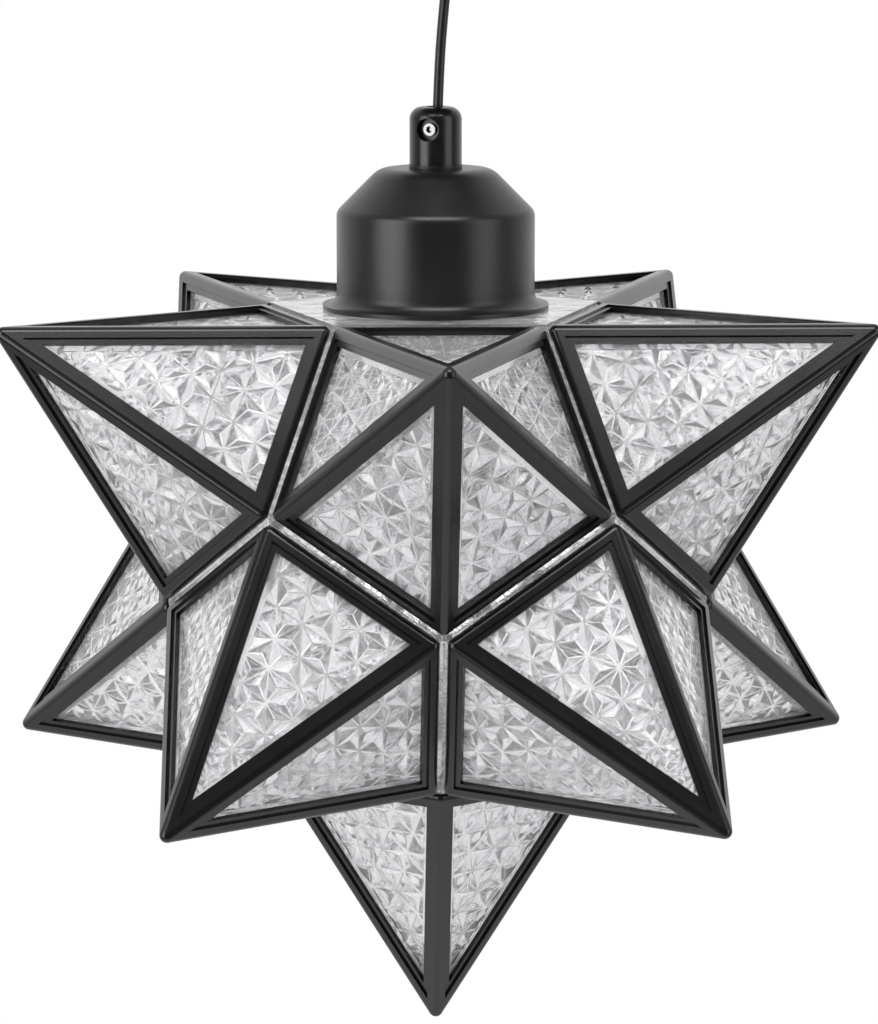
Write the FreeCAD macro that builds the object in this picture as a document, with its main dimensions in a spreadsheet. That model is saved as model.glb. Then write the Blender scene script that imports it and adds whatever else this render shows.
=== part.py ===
import FreeCAD, Part
import math
import os
import Sketcher

# A clear star lampshade of eleven hollow points, hung on its cord under a small ceiling canopy.
#
# The star is a regular dodecahedron, called the core, with a five-sided pyramid on eleven of its
# twelve faces. Each point is a black moulded frame with a clear lens inside it. The twelfth face,
# on top, is closed by a clear plate, and the metal cap with the lamp holder stands on that plate.
#
# Lengths are in millimetres. Z is up and 0 at the ceiling, X is 0 at the middle of the canopy, and
# the photograph is taken from the side of -Y.

Vector = FreeCAD.Vector
SIDES = 5           # sides of a core face, and so of each point

# The driving sizes: name, value, meaning.
SIZES = [
    ("core_edge", 71.0, "edge of the core, which sets the star's width of 300 mm from tip to tip"),
    ("frame_gap", 1.3, "from a seam between two points to each of the frames beside it"),
    ("frame_round", 2.5, "rounding of the frames' outer edges and tips"),
    ("frame_wall", 2.4, "thickness of a frame"),
    ("crest_band", 3.7, "width of a frame's crest, from the ridge line to the lip"),
    ("base_band", 4.9, "width of a frame's foot, from the seam to the lip"),
    ("lip_band", 2.1, "width of the sunk lip round each window"),
    ("lip_drop", 0.8, "how far the lip lies below the crest"),
    ("lens_gap", 0.1, "gap between a frame and its lens"),
    ("lens_wall", 2.0, "thickness of a lens"),
    ("lens_flange", 6.0, "depth of the lens's flange below its foot"),
    ("seam_gap", 0.05, "from a seam to each of the lenses beside it"),
    ("rim_drop", 0.8, "how far a lens's rim stays below the foot line in the seam"),
    ("plate_rise", 0.5, "height of the top plate above the plane of the upper points"),
    ("plate_wall", 3.0, "thickness of the top plate"),
    ("plate_play", 0.4, "gap round the lamp holder in the top plate"),
    ("lamp_x", -4.0, "where the lamp hangs, because its cord leans"),
    ("cord_radius", 1.75, "radius of the pendant cord"),
    ("cord_drop", 44.0, "free height of the cord between the gland and the grip"),
    ("cord_lean", 0.72, "how far off the middle the cord leaves the grip"),
    ("cord_bore_gap", 0.1, "gap round the cord where it is held"),
    ("cord_end_gap", 0.7, "gap between the swinging cord and the held one"),
    ("mouth_radius", 3.2, "radius of the mouths that the cord swings in"),
    ("mouth_depth", 2.0, "depth of those mouths"),
    ("canopy_radius", 60.0, "radius of the ceiling canopy"),
    ("canopy_height", 25.0, "height of the ceiling canopy"),
    ("canopy_wall", 1.2, "sheet of the ceiling canopy"),
    ("canopy_round", 5.0, "rounding of the canopy's lower edge"),
    ("bracket_half_width", 11.0, "half the width of the ceiling bracket"),
    ("bracket_wall", 1.5, "strip of the ceiling bracket"),
    ("bracket_leg", 13.0, "height of the bracket's bent ends"),
    ("bracket_play", 0.3, "gap between the bracket's corners and the canopy"),
    ("slot_half_spacing", 44.45, "from the middle to the middle of each ceiling slot"),
    ("slot_half_travel", 3.0, "from the middle of a slot to the centre of its rounded end"),
    ("slot_radius", 2.2, "half the width of a ceiling slot"),
    ("side_screw_level", 8.0, "depth of the canopy's side screws below the ceiling"),
    ("side_screw_radius", 2.0, "radius of the canopy's side screws"),
    ("side_screw_head", 3.6, "radius of their heads"),
    ("side_screw_head_height", 2.2, "height of their heads"),
    ("side_screw_grip", 2.0, "how far they reach past the bracket's bent end"),
    ("earth_screw_place", 20.0, "from the middle of the bracket to the earth screw"),
    ("earth_screw_radius", 2.0, "radius of the earth screw"),
    ("earth_screw_head", 3.0, "radius of its head"),
    ("earth_screw_head_height", 1.6, "height of its head"),
    ("screw_play", 0.05, "gap round a screw or a thread"),
    ("gland_radius", 6.0, "radius of the ceiling gland"),
    ("gland_length", 14.0, "height of the gland below the canopy"),
    ("gland_screw_level", 6.0, "height of the gland's clamp screw above its mouth"),
    ("gland_screw_radius", 1.5, "radius of the gland's clamp screw"),
    ("stud_radius", 5.0, "radius of the gland's stud and of the nipple"),
    ("stud_length", 8.0, "height of the gland's stud above the canopy's floor"),
    ("nut_radius", 8.1, "radius to the corners of the two nuts"),
    ("nut_height", 3.0, "height of the two nuts"),
    ("jacket_end", 2.0, "how far the cord's jacket reaches past the stud"),
    ("lead_radius", 0.72, "radius of one insulated lead"),
    ("lead_offset", 0.87, "from the middle of the cord to the middle of a lead"),
    ("lead_end_gap", 0.3, "gap at the ends of a lead"),
    ("grip_radius", 9.0, "radius of the cord grip"),
    ("grip_length", 19.7, "height of the cord grip"),
    ("grip_round", 4.4, "rounding of the grip's upper edge"),
    ("grip_socket", 7.3, "depth of the grip's lower bore"),
    ("grip_screw_level", 7.5, "depth of the set screw below the grip's top"),
    ("grip_screw_azimuth", -111.0, "direction that the set screw faces, in degrees from +X"),
    ("grip_screw_radius", 2.1, "radius of the set screw"),
    ("grip_screw_face", 6.6, "from the cord's middle to the set screw's outer face"),
    ("grip_hole_radius", 4.0, "radius of the side hole that the set screw sits in"),
    ("grip_hole_floor", 5.3, "from the cord's middle to the floor of that hole"),
    ("socket_radius", 1.25, "radius to the corners of a set screw's hexagon socket"),
    ("socket_depth", 1.8, "depth of a set screw's hexagon socket"),
    ("clamp_gap", 0.3, "gap between a set screw and the cord"),
    ("gasket_radius", 9.15, "radius of the grip's gasket"),
    ("gasket_wall", 1.25, "thickness of the grip's gasket"),
    ("swivel_gap", 0.05, "gap that lets the cap turn under the gasket"),
    ("nipple_bore", 3.6, "inner radius of the nipple"),
    ("nipple_engage", 7.0, "how far the nipple reaches into the grip"),
    ("nipple_end", 0.6, "how far the nipple reaches past the holder's collar"),
    ("cap_height", 48.3, "height of the cap"),
    ("cap_wall", 1.5, "sheet of the cap"),
    ("cap_crown", 19.35, "radius of the cap's flat crown"),
    ("cap_shoulder", 14.9, "height of the cap's conical shoulder"),
    ("cap_radius", 34.15, "radius of the cap's straight side"),
    ("cap_flare", 4.85, "how far the cap's flared rim stands out from its side"),
    ("cap_crown_round", 8.0, "rounding between crown and shoulder"),
    ("cap_side_round", 4.0, "rounding between shoulder and side"),
    ("cap_flare_round", 4.2, "hollow rounding above the flared rim"),
    ("washer_radius", 9.0, "radius of the lock washer"),
    ("washer_wall", 1.0, "thickness of the lock washer"),
    ("holder_collar", 8.0, "radius of the lamp holder's collar"),
    ("holder_collar_height", 3.0, "height of that collar above the shoulder"),
    ("holder_collar_depth", 5.4, "depth of the thread in that collar"),
    ("holder_shoulder", 7.0, "height of the lamp holder's conical shoulder"),
    ("holder_cap_radius", 19.0, "radius of the lamp holder's cap"),
    ("holder_cap_height", 22.0, "height of the lamp holder's cap"),
    ("holder_wall", 2.0, "wall of the lamp holder's cap"),
    ("holder_radius", 19.8, "radius of the lamp holder's body"),
    ("holder_length", 38.8, "height of the lamp holder's body"),
    ("holder_seat", 8.5, "depth of the insulator's seat in the body"),
    ("insulator_radius", 17.2, "radius of the insulator"),
    ("insulator_wall", 4.0, "thickness of the insulator"),
    ("shell_bore", 13.2, "inner radius of the screw shell, for a 26 mm lamp thread"),
    ("shell_wall", 0.6, "sheet of the screw shell"),
    ("shell_length", 27.5, "height of the screw shell"),
    ("shell_eye", 9.0, "radius of the hole in the screw shell's floor"),
    ("shell_shoulder", 3.4, "width of the conical shoulder between that floor and the shell's side"),
    ("shell_shoulder_drop", 2.7, "height of that shoulder"),
    ("contact_radius", 4.0, "radius of the centre contact"),
    ("contact_drop", 2.5, "how far the centre contact reaches below the insulator"),
    ("contact_nose", 2.5, "radius of the centre contact's flat nose"),
    ("contact_sheet", 0.8, "thickness of the centre contact"),
    ("contact_head", 2.6, "radius of the head of the centre contact's rivet"),
    ("rivet_radius", 1.5, "radius of the rivet and of the terminal screws"),
    ("terminal_place", 10.0, "from the middle to each terminal screw"),
    ("terminal_head", 2.8, "radius of a terminal screw's head"),
    ("terminal_head_height", 1.8, "height of a terminal screw's head"),
    ("terminal_length", 3.6, "length of a terminal screw below its head"),
    ("ring_wall", 2.6, "wall of the shade ring's collar"),
    ("ring_reach", 5.5, "how far the shade ring's flange stands out from its collar"),
    ("ring_flange_wall", 2.0, "thickness of that flange"),
    ("ring_height", 8.0, "height of the shade ring"),
]

# Levels on the way down from the ceiling, each as a sum of driving sizes.
STUD_TOP = "- canopy_height + stud_length"
GLAND_MOUTH = "- canopy_height - gland_length"
GRIP_TOP = GLAND_MOUTH + " - cord_drop"
GRIP_FOOT = GRIP_TOP + " - grip_length"
CAP_TOP = GRIP_FOOT + " - gasket_wall - swivel_gap"
CAP_FOOT = CAP_TOP + " - cap_height"
HOLDER_TOP = CAP_TOP + " - cap_wall - washer_wall - nut_height"
BODY_TOP = HOLDER_TOP + " - holder_cap_height"
SEAT = BODY_TOP + " - holder_seat"
INSULATOR_TOP = SEAT + " + insulator_wall"
TERMINAL_TOP = INSULATOR_TOP + " + terminal_head_height"
PLATE_FLOOR = CAP_FOOT + " - plate_wall"
NIPPLE_FOOT = HOLDER_TOP + " - holder_collar_depth - nipple_end"
TAIL_FOOT = NIPPLE_FOOT + " - jacket_end"
THREAD_HOLE = "stud_radius + screw_play"
CORD_BORE = "cord_radius + cord_bore_gap"

doc = FreeCAD.newDocument("star_pendant")
sheet = doc.addObject("Spreadsheet::Sheet", "Sizes")
parts = {}


def fill_sheet():
    for row, (name, value, meaning) in enumerate(SIZES, start=1):
        sheet.set("A%d" % row, name)
        sheet.set("B%d" % row, str(value))
        sheet.set("C%d" % row, meaning)
        sheet.setAlias("B%d" % row, name)
    doc.recompute()


def size(name):
    return float(sheet.get(name))


def amount(text):
    """The value of a sum such as 'cap_radius - cap_wall'."""
    total = 0.0
    sign = 1.0
    for word in text.split():
        if word in "+-":
            sign = 1.0 if word == "+" else -1.0
        else:
            total += sign * (size(word) if word[0].isalpha() else float(word))
    return total


def formula(text):
    """The same sum as an expression on the sheet."""
    return " ".join("Sizes." + word if word[0].isalpha() else word for word in text.split())


# ---------------------------------------------------------------- plain building steps

def origin_plane(body, role):
    return [item for item in body.Origin.OriginFeatures if item.Role == role][0]


def place(thing, x="0", y="0", z="0"):
    for axis, text in (("x", x), ("y", y), ("z", z)):
        if text != "0":
            thing.setExpression("Placement.Base." + axis, formula(text))


def add_part(name, thing):
    thing.Label = name
    parts[name] = thing
    return thing


def turned(name, outline, centre="lamp_x"):
    """A body turned about the vertical line at x = centre, from its outline of (radius, height) sums."""
    body = doc.addObject("PartDesign::Body", name)
    sketch = body.newObject("Sketcher::SketchObject", name + "_outline")
    sketch.AttachmentSupport = [(origin_plane(body, "XZ_Plane"), "")]
    sketch.MapMode = "FlatFace"
    corners = [Vector(amount(radius), amount(height), 0) for radius, height in outline]
    count = len(corners)
    for index in range(count):
        sketch.addGeometry(Part.LineSegment(corners[index], corners[(index + 1) % count]), False)
    for index in range(count):
        sketch.addConstraint(Sketcher.Constraint("Coincident", index, 2, (index + 1) % count, 1))
    for index, (radius, height) in enumerate(outline):
        for kind, text, axis in (("DistanceX", radius, -2), ("DistanceY", height, -1)):
            if text == "0":
                sketch.addConstraint(Sketcher.Constraint("PointOnObject", index, 1, axis))
            else:
                datum = sketch.addConstraint(
                    Sketcher.Constraint(kind, -1, 1, index, 1, amount(text)))
                sketch.setExpression("Constraints[%d]" % datum, formula(text))
    spin = body.newObject("PartDesign::Revolution", name + "_spin")
    spin.Profile = sketch
    spin.ReferenceAxis = (sketch, ["V_Axis"])
    spin.Angle = 360
    place(body, x=centre)
    doc.recompute()
    return body


def round_corner(body, radius, height, rounding):
    """Rounds the circular edge of a turned body that has this radius and height."""
    base = body.Tip
    names = []
    for index, edge in enumerate(base.Shape.Edges, start=1):
        if isinstance(edge.Curve, Part.Circle):
            near = abs(edge.Curve.Radius - amount(radius)) + abs(edge.Curve.Center.z - amount(height))
            if near < 1e-4:
                names.append("Edge%d" % index)
    fillet = body.newObject("PartDesign::Fillet", body.Name + "_round")
    fillet.Base = (base, names)
    fillet.setExpression("Radius", formula(rounding))
    body.Tip = fillet
    doc.recompute()


def cylinder(name, radius, foot, top, x="0", y="0"):
    thing = doc.addObject("Part::Cylinder", name)
    thing.setExpression("Radius", formula(radius))
    thing.setExpression("Height", formula(top + " - ( " + foot + " )"))
    place(thing, x, y, foot)
    return thing


def box(name, low, high):
    thing = doc.addObject("Part::Box", name)
    for side, start, end in zip(("Length", "Width", "Height"), low, high):
        thing.setExpression(side, formula(end + " - ( " + start + " )"))
    place(thing, *low)
    return thing


def radial_rod(name, radius, near, far, level, azimuth, centre=0.0, sides=0):
    """A rod, or a prism with that many sides, that points outwards from a vertical axis."""
    if sides:
        thing = doc.addObject("Part::Prism", name)
        thing.Polygon = sides
        thing.setExpression("Circumradius", formula(radius))
    else:
        thing = doc.addObject("Part::Cylinder", name)
        thing.setExpression("Radius", formula(radius))
    thing.setExpression("Height", formula(far + " - ( " + near + " )"))
    outward = Vector(math.cos(azimuth), math.sin(azimuth), 0)
    base = Vector(centre, 0, amount(level)) + outward * amount(near)
    thing.Placement = FreeCAD.Placement(base, FreeCAD.Rotation(Vector(0, 0, 1), outward))
    return thing


def joined(name, pieces):
    thing = doc.addObject("Part::MultiFuse", name)
    thing.Shapes = pieces
    return thing


def group(name, pieces):
    thing = doc.addObject("Part::Compound", name)
    thing.Links = pieces
    return thing


def cut(name, base, tools):
    thing = doc.addObject("Part::Cut", name)
    thing.Base = base
    thing.Tool = tools[0] if len(tools) == 1 else joined(name + "_tools", tools)
    return thing


def shaped(name, shape, placement=None):
    thing = doc.addObject("Part::Feature", name)
    thing.Shape = shape
    if placement:
        thing.Placement = placement
    return thing


def cord_tube(name, route, radius):
    """A tube of straight runs joined by tangent arcs, each as large as its two runs allow."""
    points = [Vector(*point) for point in route]
    edges = []
    start = points[0]
    radii = []
    for before, corner, after in zip(points, points[1:], points[2:]):
        into = (corner - before).normalize()
        out = (after - corner).normalize()
        turn = into.getAngle(out)
        reach = 0.45 * min(corner.distanceToPoint(before), corner.distanceToPoint(after))
        bend = reach / math.tan(turn / 2)
        radii.append(bend)
        first = corner - into * reach
        last = corner + out * reach
        inward = (out - into).normalize()
        middle = corner + inward * (bend / math.cos(turn / 2) - bend)
        edges.append(Part.LineSegment(start, first).toShape())
        edges.append(Part.Arc(first, middle, last).toShape())
        start = last
    edges.append(Part.LineSegment(start, points[-1]).toShape())
    path = Part.Wire(edges)
    circle = Part.Circle(points[0], (points[1] - points[0]).normalize(), radius).toShape()
    tube = path.makePipeShell([Part.Wire(circle)], True, False)
    section = math.pi * radius ** 2
    print("%s: length %.1f, radii %s, volume %.1f against section x length %.1f" % (
        name, path.Length, ", ".join("%.1f" % bend for bend in radii),
        tube.Volume, section * path.Length))
    return shaped(name, tube)


# ---------------------------------------------------------------- the star's geometry

class Star:
    """The planes of one point, in the point's own frame: its foot lies in z = 0 and its tip is up."""

    def __init__(self):
        edge = size("core_edge")
        golden = (1 + math.sqrt(5)) / 2
        self.edge = edge
        self.foot = edge / (2 * math.tan(math.pi / SIDES))       # middle of the foot to its side
        self.slope = math.atan(2.0)                              # a side's angle with the foot
        self.inner = edge * golden ** 2 / (2 * math.sqrt(3 - golden))   # core's centre to the foot
        self.seam = math.hypot(self.foot, self.inner)
        self.slant = self.foot / math.cos(self.slope)            # length of a side, foot to tip

    def side(self, height, depth):
        """Distance from the axis to a side's plane sunk by this depth, at this height."""
        return self.foot - (height * math.cos(self.slope) + depth) / math.sin(self.slope)

    def seam_side(self, height, depth):
        """The same for the seam plane between two points, which passes through the core's centre."""
        return (self.foot * (height + self.inner) - depth * self.seam) / self.inner

    def meeting(self, side_depth, seam_depth):
        """The height where those two planes meet."""
        top = seam_depth * self.seam / self.inner - side_depth / math.sin(self.slope)
        return top / (1 / math.tan(self.slope) + self.foot / self.inner)

    def tip(self, depth):
        return (self.foot - depth / math.sin(self.slope)) * math.tan(self.slope)

    def on_seam(self, below, depth):
        """The point that lies this far below the foot line along the seam and this deep inside it."""
        radius = self.foot - (below * self.foot + depth * self.inner) / self.seam
        height = (depth * self.foot - below * self.inner) / self.seam
        return radius, height


def ring(apothem, height):
    half = math.pi / SIDES
    reach = apothem / math.cos(half)
    angles = [half + 2 * half * index for index in range(SIDES)]
    return [Vector(reach * math.cos(angle), reach * math.sin(angle), height) for angle in angles]


def flat(points):
    return Part.Face(Part.makePolygon(list(points) + [points[0]]))


def five_sided(profile):
    """A solid with flat sides from its (apothem, height) profile, from the bottom up."""
    rings = [ring(*step) if step[0] > 1e-9 else [Vector(0, 0, step[1])] for step in profile]
    faces = [flat(rings[0])]
    if len(rings[-1]) == SIDES:
        faces.append(flat(rings[-1]))
    for lower, upper in zip(rings, rings[1:]):
        for index in range(SIDES):
            after = (index + 1) % SIDES
            if len(upper) == 1:
                faces.append(flat([lower[index], lower[after], upper[0]]))
            else:
                faces.append(flat([lower[index], lower[after], upper[after], upper[index]]))
    solid = Part.makeSolid(Part.makeShell(faces))
    if solid.Volume < 0:
        solid.reverse()
    return solid


def point_block(star, side_depth, seam_depth, floor):
    corner = star.meeting(side_depth, seam_depth)
    return five_sided([(star.seam_side(floor, seam_depth), floor),
                       (star.seam_side(corner, seam_depth), corner),
                       (0, star.tip(side_depth))])


def window(star, foot_band, crest_band, depth):
    """A three-cornered prism through one side, leaving bands along its foot and its two ridges."""
    half_angle = math.atan(star.edge / 2 / star.slant)
    top = star.slant - crest_band / math.sin(half_angle)
    half = (star.slant - foot_band) * math.tan(half_angle) - crest_band / math.cos(half_angle)
    normal = Vector(math.sin(star.slope), 0, math.cos(star.slope))
    uphill = Vector(-math.cos(star.slope), 0, math.sin(star.slope))
    foot_line = Vector(star.foot, 0, 0) - normal * depth
    corners = [foot_line + uphill * foot_band + Vector(0, half, 0),
               foot_line + uphill * foot_band - Vector(0, half, 0),
               foot_line + uphill * top]
    return flat(corners).extrude(normal * (depth + size("frame_wall")))


def frame_shape(star):
    """The moulded cage of one point: a rounded shell with a stepped window in each side."""
    rounding = size("frame_round")
    wall = size("frame_wall")
    gap = size("frame_gap")
    floor = star.meeting(wall, gap) - 2 * rounding
    block = point_block(star, rounding, gap + rounding, floor + rounding)
    shell = block.makeOffsetShape(rounding, 0.001, join=0)
    hollow = five_sided([(star.side(floor - rounding, wall), floor - rounding), (0, star.tip(wall))])
    shell = shell.cut(hollow)
    lip = window(star, size("base_band"), size("crest_band"), size("lip_drop"))
    opening = window(star, size("base_band") + size("lip_band"),
                     size("crest_band") + size("lip_band"), wall + size("lens_gap"))
    tools = []
    for index in range(SIDES):
        for tool in (lip, opening):
            turned_tool = tool.copy()
            turned_tool.rotate(Vector(0, 0, 0), Vector(0, 0, 1), 360 * index / SIDES)
            tools.append(turned_tool)
    return shell.cut(tools)


def lens_shape(star):
    """The clear insert: a hollow pyramid with a flange, and a rim that rises in the seam."""
    seam_gap = size("seam_gap")
    cover = size("frame_wall") + size("lens_gap")
    inside = size("frame_gap") - size("lens_gap")
    floor = -size("lens_flange")
    foot = star.meeting(cover, inside)
    outer = five_sided([(star.seam_side(floor, seam_gap), floor),
                        star.on_seam(size("rim_drop"), seam_gap),
                        star.on_seam(size("rim_drop"), inside),
                        (star.seam_side(foot, inside), foot),
                        (0, star.tip(cover))])
    wall = size("lens_wall")
    hollow = point_block(star, cover + wall, seam_gap + wall, floor - wall)
    return outer.cut(hollow)


def plate_shape(star):
    """The clear plate over the core's top face, with a flange like a lens and a round hole."""
    seam_gap = size("seam_gap")
    floor = -size("lens_flange")
    top = size("plate_rise")
    ceiling = top - size("plate_wall")
    wall = size("lens_wall")
    outer = five_sided([(star.seam_side(floor, seam_gap), floor),
                        (star.seam_side(top, seam_gap), top)])
    hollow = five_sided([(star.seam_side(floor - wall, seam_gap + wall), floor - wall),
                         (star.seam_side(ceiling, seam_gap + wall), ceiling)])
    hole = Part.makeCylinder(amount("holder_radius + plate_play"), size("lens_flange") + 2 * top,
                             Vector(0, 0, floor))
    return outer.cut(hollow).cut(hole)


def point_placement(star, azimuth, climb, upright):
    """Stands a point on the core's face that looks this way. Its first side faces up or down."""
    normal = Vector(math.cos(azimuth) * math.cos(climb), math.sin(azimuth) * math.cos(climb),
                    math.sin(climb))
    uphill = Vector(-math.cos(azimuth) * math.sin(climb), -math.sin(azimuth) * math.sin(climb),
                    math.cos(climb))
    first = uphill * (1 if upright else -1)
    turn = FreeCAD.Rotation(first, normal.cross(first), normal, "ZXY")
    core_level = amount(CAP_FOOT + " - plate_rise") - star.inner
    core = Vector(size("lamp_x"), 0, core_level)
    return FreeCAD.Placement(core + normal * star.inner, turn)


# ---------------------------------------------------------------- the pieces, from the ceiling down

def bracket_reach():
    """Half the bracket's length: its corners stay inside the round canopy."""
    inside = amount("canopy_radius - canopy_wall - bracket_play")
    return "%.4f" % math.sqrt(inside ** 2 - size("bracket_half_width") ** 2)


def make_bracket():
    """A steel strip with bent ends, two ceiling slots, an earth hole and two side holes."""
    half = bracket_reach()
    strip = box("bracket_strip", ("- " + half, "- bracket_half_width", "- bracket_wall"),
                (half, "bracket_half_width", "0"))
    legs = []
    for side, low, high in (("left", "- " + half, "- " + half + " + bracket_wall"),
                            ("right", half + " - bracket_wall", half)):
        legs.append(box("bracket_leg_" + side, (low, "- bracket_half_width", "- bracket_leg"),
                        (high, "bracket_half_width", "- bracket_wall")))
    strip = joined("bracket_blank", [strip] + legs)
    holes = []
    for side, sign in (("left", "- "), ("right", "")):
        middle = sign + "slot_half_spacing"
        for end, shift in (("inner", " - slot_half_travel"), ("outer", " + slot_half_travel")):
            holes.append(cylinder("slot_%s_%s" % (side, end), "slot_radius", "- bracket_wall", "0",
                                  x=middle + shift))
        holes.append(box("slot_" + side,
                         (middle + " - slot_half_travel", "- slot_radius", "- bracket_wall"),
                         (middle + " + slot_half_travel", "slot_radius", "0")))
    holes.append(cylinder("earth_hole", "earth_screw_radius + screw_play", "- bracket_wall", "0",
                          x="earth_screw_place"))
    for side, azimuth in (("right", 0.0), ("left", math.pi)):
        holes.append(radial_rod("side_hole_" + side, "side_screw_radius + screw_play",
                                half + " - bracket_wall - bracket_wall", half + " + bracket_wall",
                                "- side_screw_level", azimuth))
    add_part("ceiling_bracket", cut("ceiling_bracket", strip, holes))


def make_earth_screw():
    shank = cylinder("earth_shank", "earth_screw_radius", "- bracket_wall", "0",
                     x="earth_screw_place")
    head = cylinder("earth_head", "earth_screw_head", "- bracket_wall - earth_screw_head_height",
                    "- bracket_wall", x="earth_screw_place")
    add_part("ground_screw", joined("ground_screw", [shank, head]))


def make_canopy():
    """A shallow spun cup, open to the ceiling, with a hole for the gland and two for side screws."""
    floor = "- canopy_height"
    inside = "canopy_radius - canopy_wall"
    cup = turned("canopy_cup", [(THREAD_HOLE, floor), ("canopy_radius", floor),
                                ("canopy_radius", "0"), (inside, "0"),
                                (inside, floor + " + canopy_wall"),
                                (THREAD_HOLE, floor + " + canopy_wall")], centre="0")
    round_corner(cup, "canopy_radius", floor, "canopy_round")
    round_corner(cup, inside, floor + " + canopy_wall", "canopy_round - canopy_wall")
    holes = []
    for side, azimuth in (("right", 0.0), ("left", math.pi)):
        holes.append(radial_rod("canopy_hole_" + side, "side_screw_radius + screw_play",
                                inside + " - canopy_wall", "canopy_radius + canopy_wall",
                                "- side_screw_level", azimuth))
    add_part("canopy", cut("canopy", cup, holes))


def make_canopy_screws():
    screws = []
    for side, azimuth in (("right", 0.0), ("left", math.pi)):
        shank = radial_rod("side_shank_" + side, "side_screw_radius",
                           bracket_reach() + " - bracket_wall - side_screw_grip", "canopy_radius",
                           "- side_screw_level", azimuth)
        head = radial_rod("side_head_" + side, "side_screw_head", "canopy_radius",
                          "canopy_radius + side_screw_head_height", "- side_screw_level", azimuth)
        screws.append(joined("side_screw_" + side, [shank, head]))
    add_part("canopy_screws", group("canopy_screws", screws))


def make_gland():
    """A turned sleeve that holds the cord under the canopy, with its clamp screw at the back."""
    floor = "- canopy_height"
    mouth_floor = GLAND_MOUTH + " + mouth_depth"
    sleeve = turned("gland_sleeve", [(CORD_BORE, mouth_floor), ("mouth_radius", mouth_floor),
                                     ("mouth_radius", GLAND_MOUTH), ("gland_radius", GLAND_MOUTH),
                                     ("gland_radius", floor), ("stud_radius", floor),
                                     ("stud_radius", STUD_TOP), (CORD_BORE, STUD_TOP)], centre="0")
    level = GLAND_MOUTH + " + gland_screw_level"
    back = math.pi / 2
    hole = radial_rod("gland_hole", "gland_screw_radius + screw_play", "0",
                      "gland_radius + screw_play", level, back)
    add_part("ceiling_gland", cut("ceiling_gland", sleeve, [hole]))
    make_set_screw("gland_set_screw", "gland_screw_radius", "gland_radius", level, back, 0.0)


def make_set_screw(name, radius, face, level, azimuth, centre):
    """A set screw that points at the cord, with a hexagon socket in its outer face."""
    rod = radial_rod(name + "_rod", radius, "cord_radius + clamp_gap", face, level, azimuth, centre)
    socket = radial_rod(name + "_socket", "socket_radius", face + " - socket_depth",
                        face + " + socket_depth", level, azimuth, centre, sides=6)
    add_part(name, cut(name, rod, [socket]))


def make_nut(name, foot, top, centre):
    prism = doc.addObject("Part::Prism", name + "_prism")
    prism.Polygon = 6
    prism.setExpression("Circumradius", formula("nut_radius"))
    prism.setExpression("Height", formula("nut_height"))
    place(prism, x=centre, z=foot)
    bore = cylinder(name + "_bore", THREAD_HOLE, foot, top, x=centre)
    add_part(name, cut(name, prism, [bore]))


def make_ceiling_wiring():
    """The cord's upper end inside the gland, and the three leads that come out of its jacket."""
    jacket_top = STUD_TOP + " + jacket_end"
    add_part("cord_root", cylinder("cord_root", "cord_radius", GLAND_MOUTH + " + mouth_depth",
                                   jacket_top))
    start = amount(jacket_top + " + lead_end_gap")
    offset = size("lead_offset")
    radius = size("lead_radius")
    climb = amount("- bracket_wall") - start
    across = offset * math.cos(math.radians(120))
    aside = offset * math.sin(math.radians(120))
    # Each route climbs out of the jacket and then lies under the bracket. The last number of each
    # point is its share of the climb.
    live = [(across, -aside, 0), (-0.9, -1.3, 0.30), (-4.8, -3.6, 0.56), (-10.6, -5.4, 0.63),
            (-16.5, -6.1, 0.58)]
    ground = [(offset, 0, 0), (1.7, 0, 0.30), (6.2, 0, 0.59), (11.6, 0, 0.79), (16.6, 0, 0.915)]
    live, ground = [[(x, y, start + climb * share) for x, y, share in route]
                    for route in (live, ground)]
    neutral = [(x, -y, z) for x, y, z in live]
    for name, route in (("supply_live", live), ("supply_neutral", neutral),
                        ("supply_ground", ground)):
        add_part(name, cord_tube(name, route, radius))


def make_pendant_cord():
    """The cord's free stretch, which leans and bows a little between the gland and the grip."""
    top = amount(GLAND_MOUTH + " + mouth_depth - cord_end_gap")
    foot = amount(GRIP_TOP + " - mouth_depth + cord_end_gap")
    route = [(0.0, 0.0, top), (-1.55, 0.0, -53.0), (-2.75, 0.0, -69.0),
             (amount("lamp_x + cord_lean"), 0.0, foot)]
    add_part("pendant_cord", cord_tube("pendant_cord", route, size("cord_radius")))


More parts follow.
